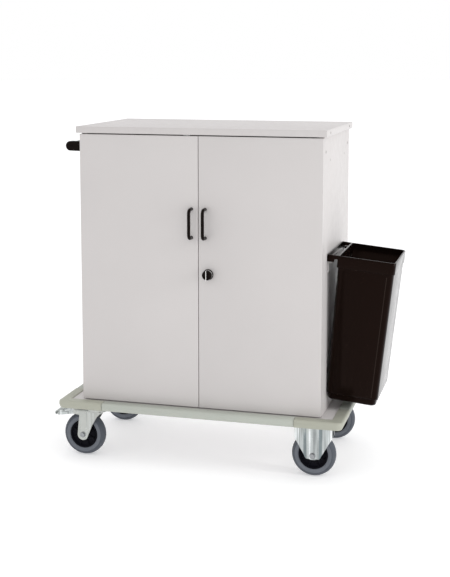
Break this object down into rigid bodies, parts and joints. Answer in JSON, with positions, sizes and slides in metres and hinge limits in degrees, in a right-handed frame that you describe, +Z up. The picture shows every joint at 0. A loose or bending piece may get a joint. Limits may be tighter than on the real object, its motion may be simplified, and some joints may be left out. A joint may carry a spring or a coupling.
{
  "type": "housekeeping cart",
  "caption": "Two-door laminated storage cabinet on a bumpered platform with swivel and fixed casters, a push handle on one side and a lift-off waste bin on the other.",
  "frame": {"origin": "on the floor, under the middle of the cart's overall box (pedal tip to bin rim, bumper to bumper)", "axes": "+Z up, the doors face -Y, the waste bin hangs on the +X side and the push handle is on the -X side"},
  "size_m": [1.1848, 0.596, 1.16],
  "materials": {
    "laminate": "light warm grey laminated board, fine texture",
    "top_laminate": "light grey laminated board, satin",
    "coated_steel": "light grey powder coat",
    "black_plastic": "black moulded plastic, semi-gloss",
    "steel": "plated steel",
    "zinc": "bright zinc-plated pressed steel",
    "bumper_corner": "grey-green moulded plastic",
    "bumper_strip": "grey-green extruded plastic",
    "tyre": "non-marking grey rubber",
    "hub": "black moulded plastic",
    "bin_plastic": "glossy black moulded plastic"
  },
  "bodies": {
    "cart": {"side_panel_left": "laminate", "side_panel_right": "laminate", "bottom_panel": "laminate", "back_panel": "laminate", "top_panel": "top_laminate", "shelf_lower": "laminate", "shelf_upper": "laminate", "deck": "laminate", "bin_rail": "coated_steel", "push_bar": "black_plastic", "push_bracket_front": "black_plastic", "push_bracket_rear": "black_plastic", "bolt_keeper": "steel", "hinge_arm_left_lower": "steel", "hinge_arm_left_upper": "steel", "hinge_arm_right_lower": "steel", "hinge_arm_right_upper": "steel", "bumper_corner_front_left": "bumper_corner", "bumper_corner_front_right": "bumper_corner", "bumper_corner_rear_left": "bumper_corner", "bumper_corner_rear_right": "bumper_corner", "bumper_strip_front": "bumper_strip", "bumper_strip_rear": "bumper_strip", "bumper_strip_left": "bumper_strip", "bumper_strip_right": "bumper_strip", "caster_plate_left_front": "zinc", "caster_plate_left_rear": "zinc", "caster_bracket_right_front": "zinc", "caster_bracket_right_rear": "zinc", "axle_right_front": "steel", "axle_right_rear": "steel"},
    "left_door": {"door_left": "laminate", "pull_left": "black_plastic", "hinge_cup_left_lower": "steel", "hinge_cup_left_upper": "steel", "bolt_body": "steel"},
    "right_door": {"door_right": "laminate", "pull_right": "black_plastic", "hinge_cup_right_lower": "steel", "hinge_cup_right_upper": "steel", "lock_ring": "black_plastic"},
    "door_bolt": {"bolt_rod": "steel"},
    "lock": {"lock_knob": "black_plastic", "lock_cam": "steel"},
    "front_fork": {"caster_fork_left_front": "zinc", "axle_left_front": "steel"},
    "front_brake": {"brake_pedal_left_front": "zinc"},
    "left_front_wheel": {"hub_left_front": "hub", "tyre_left_front": "tyre"},
    "right_front_wheel": {"hub_right_front": "hub", "tyre_right_front": "tyre"},
    "rear_fork": {"caster_fork_left_rear": "zinc", "axle_left_rear": "steel"},
    "rear_brake": {"brake_pedal_left_rear": "zinc"},
    "left_rear_wheel": {"hub_left_rear": "hub", "tyre_left_rear": "tyre"},
    "right_rear_wheel": {"hub_right_rear": "hub", "tyre_right_rear": "tyre"},
    "waste_bin": {"bin": "bin_plastic"}
  },
  "joints": [
    {"name": "left_door_swing", "type": "hinge", "parent": "cart", "child": "left_door", "pos_m": [-0.47145, -0.2335, 0.6], "axis": [0, 0, -1], "range_deg": [0, 110]},
    {"name": "right_door_swing", "type": "hinge", "parent": "cart", "child": "right_door", "pos_m": [0.36455, -0.2335, 0.6], "axis": [0, 0, 1], "range_deg": [0, 110]},
    {"name": "door_bolt_slide", "type": "slide", "parent": "left_door", "child": "door_bolt", "axis": [0, 0, 1], "range_m": [0, 0.015]},
    {"name": "lock_turn", "type": "hinge", "parent": "right_door", "child": "lock", "pos_m": [-0.01945, -0.2525, 0.674], "axis": [0, 1, 0], "range_deg": [0, 90]},
    {"name": "front_caster_swivel", "type": "hinge", "parent": "cart", "child": "front_fork", "pos_m": [-0.44045, -0.199, 0.16], "axis": [0, 0, 1], "continuous": true},
    {"name": "left_front_wheel_spin", "type": "hinge", "parent": "front_fork", "child": "left_front_wheel", "pos_m": [-0.48645, -0.199, 0.075], "axis": [0, 1, 0], "continuous": true},
    {"name": "front_brake_press", "type": "hinge", "parent": "front_fork", "child": "front_brake", "pos_m": [-0.51145, -0.199, 0.154], "axis": [0, -1, 0], "range_deg": [0, 10]},
    {"name": "right_front_wheel_spin", "type": "hinge", "parent": "cart", "child": "right_front_wheel", "pos_m": [0.33355, -0.199, 0.075], "axis": [0, 1, 0], "continuous": true},
    {"name": "rear_caster_swivel", "type": "hinge", "parent": "cart", "child": "rear_fork", "pos_m": [-0.44045, 0.199, 0.16], "axis": [0, 0, 1], "continuous": true},
    {"name": "left_rear_wheel_spin", "type": "hinge", "parent": "rear_fork", "child": "left_rear_wheel", "pos_m": [-0.48645, 0.199, 0.075], "axis": [0, 1, 0], "continuous": true},
    {"name": "rear_brake_press", "type": "hinge", "parent": "rear_fork", "child": "rear_brake", "pos_m": [-0.51145, 0.199, 0.154], "axis": [0, -1, 0], "range_deg": [0, 10]},
    {"name": "right_rear_wheel_spin", "type": "hinge", "parent": "cart", "child": "right_rear_wheel", "pos_m": [0.33355, 0.199, 0.075], "axis": [0, 1, 0], "continuous": true},
    {"name": "bin_lift", "type": "slide", "parent": "cart", "child": "waste_bin", "axis": [0, 0, 1], "range_m": [0, 0.06]}
  ]
}
